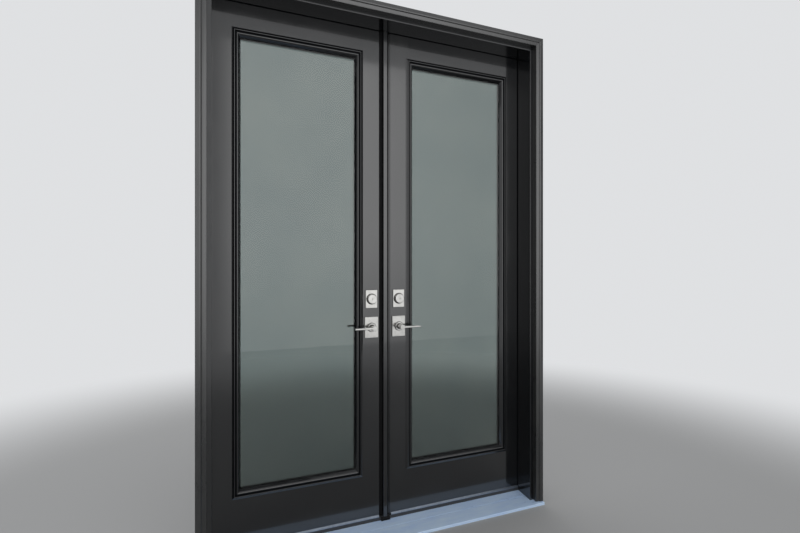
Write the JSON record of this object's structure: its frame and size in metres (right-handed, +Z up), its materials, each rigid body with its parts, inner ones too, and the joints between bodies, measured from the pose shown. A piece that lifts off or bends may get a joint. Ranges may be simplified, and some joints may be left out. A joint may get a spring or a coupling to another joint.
{
  "type": "french doors",
  "caption": "Black double french doors in their frame: full-glass leaves that swing inwards, with deadbolt, levers, astragal and metal sill.",
  "frame": {"origin": "middle of the sill's underside, in the plane of the brickmould's back and the jambs' outside edge", "axes": "+X along the wall to the right as seen from outside, +Y into the room, +Z up"},
  "size_m": [1.7246, 0.2625, 2.5223],
  "materials": {
    "frame_paint": "satin black exterior paint on wood",
    "leaf_paint": "satin black exterior paint on wood",
    "glazing_frame": "satin black paint on a moulded frame",
    "glass": "clear float glass with a faint grey-green tint",
    "spacer": "black warm-edge spacer",
    "sill_aluminium": "satin mill aluminium, lightly scuffed",
    "sill_composite": "dark composite, matt",
    "drip_aluminium": "satin aluminium",
    "seal_rubber": "black seal, matt",
    "hinge_steel": "satin nickel plated steel",
    "satin_nickel": "satin nickel, fine brushed",
    "bolt_steel": "zinc plated steel"
  },
  "bodies": {
    "frame": {"jamb_left": "frame_paint", "jamb_right": "frame_paint", "head_jamb": "frame_paint", "brickmould_left": "frame_paint", "brickmould_right": "frame_paint", "brickmould_head": "frame_paint", "sill_base": "sill_composite", "sill_deck": "sill_aluminium", "threshold_cap": "sill_composite", "bolt_strikes": "bolt_steel", "weatherstrip": "seal_rubber", "hinge_frame_leaves_left": "hinge_steel", "hinge_frame_leaves_right": "hinge_steel", "hinge_pins_left": "hinge_steel", "hinge_pins_right": "hinge_steel"},
    "leaf_left": {"hinge_stile_left": "leaf_paint", "lock_stile_left": "leaf_paint", "top_rail_left": "leaf_paint", "bottom_rail_left": "leaf_paint", "lite_frame_outside_left": "glazing_frame", "lite_frame_inside_left": "glazing_frame", "glass_panes_left": "glass", "glass_spacer_left": "spacer", "drip_rail_left": "drip_aluminium", "sweep_left": "seal_rubber", "hinge_door_leaves_left": "hinge_steel", "lever_roses_left": "satin_nickel", "deadbolt_trim_outside": "satin_nickel", "deadbolt_trim_inside": "satin_nickel", "deadbolt_case": "satin_nickel", "latch_case": "satin_nickel"},
    "leaf_right": {"hinge_stile_right": "leaf_paint", "lock_stile_right": "leaf_paint", "top_rail_right": "leaf_paint", "bottom_rail_right": "leaf_paint", "lite_frame_outside_right": "glazing_frame", "lite_frame_inside_right": "glazing_frame", "glass_panes_right": "glass", "glass_spacer_right": "spacer", "drip_rail_right": "drip_aluminium", "sweep_right": "seal_rubber", "hinge_door_leaves_right": "hinge_steel", "lever_roses_right": "satin_nickel", "astragal": "leaf_paint", "astragal_seal": "seal_rubber", "deadbolt_strike": "satin_nickel", "latch_strike": "satin_nickel", "dummy_trims_right": "satin_nickel", "bolt_gear_case": "bolt_steel"},
    "left_lever_set": {"lever_outside_left": "satin_nickel", "lever_inside_left": "satin_nickel"},
    "left_latch": {"latch_bolt": "bolt_steel"},
    "left_lock_turn": {"key_plug": "satin_nickel", "thumbturn": "satin_nickel"},
    "left_deadbolt": {"deadbolt": "bolt_steel"},
    "right_lever_set": {"lever_outside_right": "satin_nickel", "lever_inside_right": "satin_nickel"},
    "right_head_bolt": {"head_bolt": "bolt_steel"},
    "right_foot_bolt": {"foot_bolt": "bolt_steel"}
  },
  "joints": [
    {"name": "leaf_left_swing", "type": "hinge", "parent": "frame", "child": "leaf_left", "pos_m": [-0.8115, 0.164, 1.26], "axis": [0, 0, 1], "range_deg": [0, 110]},
    {"name": "leaf_right_swing", "type": "hinge", "parent": "frame", "child": "leaf_right", "pos_m": [0.8115, 0.164, 1.26], "axis": [0, 0, -1], "range_deg": [0, 110]},
    {"name": "left_lever_press", "type": "hinge", "parent": "leaf_left", "child": "left_lever_set", "pos_m": [-0.072, 0.112, 0.987], "axis": [0, -1, 0], "range_deg": [0, 45], "stiffness_Nm_per_rad": 1.5, "springref_deg": -28.65},
    {"name": "left_latch_slide", "type": "slide", "parent": "leaf_left", "child": "left_latch", "axis": [1, 0, 0], "range_m": [0, 0.012]},
    {"name": "left_thumbturn", "type": "hinge", "parent": "leaf_left", "child": "left_lock_turn", "pos_m": [-0.072, 0.1565, 1.1267], "axis": [0, 1, 0], "range_deg": [0, 90]},
    {"name": "left_deadbolt_slide", "type": "slide", "parent": "leaf_left", "child": "left_deadbolt", "axis": [1, 0, 0], "range_m": [0, 0.0254]},
    {"name": "right_lever_lift", "type": "hinge", "parent": "leaf_right", "child": "right_lever_set", "pos_m": [0.072, 0.112, 0.987], "axis": [0, -1, 0], "range_deg": [0, 45]},
    {"name": "right_head_bolt_slide", "type": "slide", "parent": "leaf_right", "child": "right_head_bolt", "axis": [0, 0, 1], "range_m": [0, 0.018]},
    {"name": "right_foot_bolt_slide", "type": "slide", "parent": "leaf_right", "child": "right_foot_bolt", "axis": [0, 0, -1], "range_m": [0, 0.018]}
  ],
  "couplings": [
    {"joint": "left_deadbolt_slide", "follows": "left_thumbturn", "m_per_rad": 0.01617},
    {"joint": "right_head_bolt_slide", "follows": "right_lever_lift", "m_per_rad": 0.022918},
    {"joint": "right_foot_bolt_slide", "follows": "right_lever_lift", "m_per_rad": 0.022918}
  ]
}
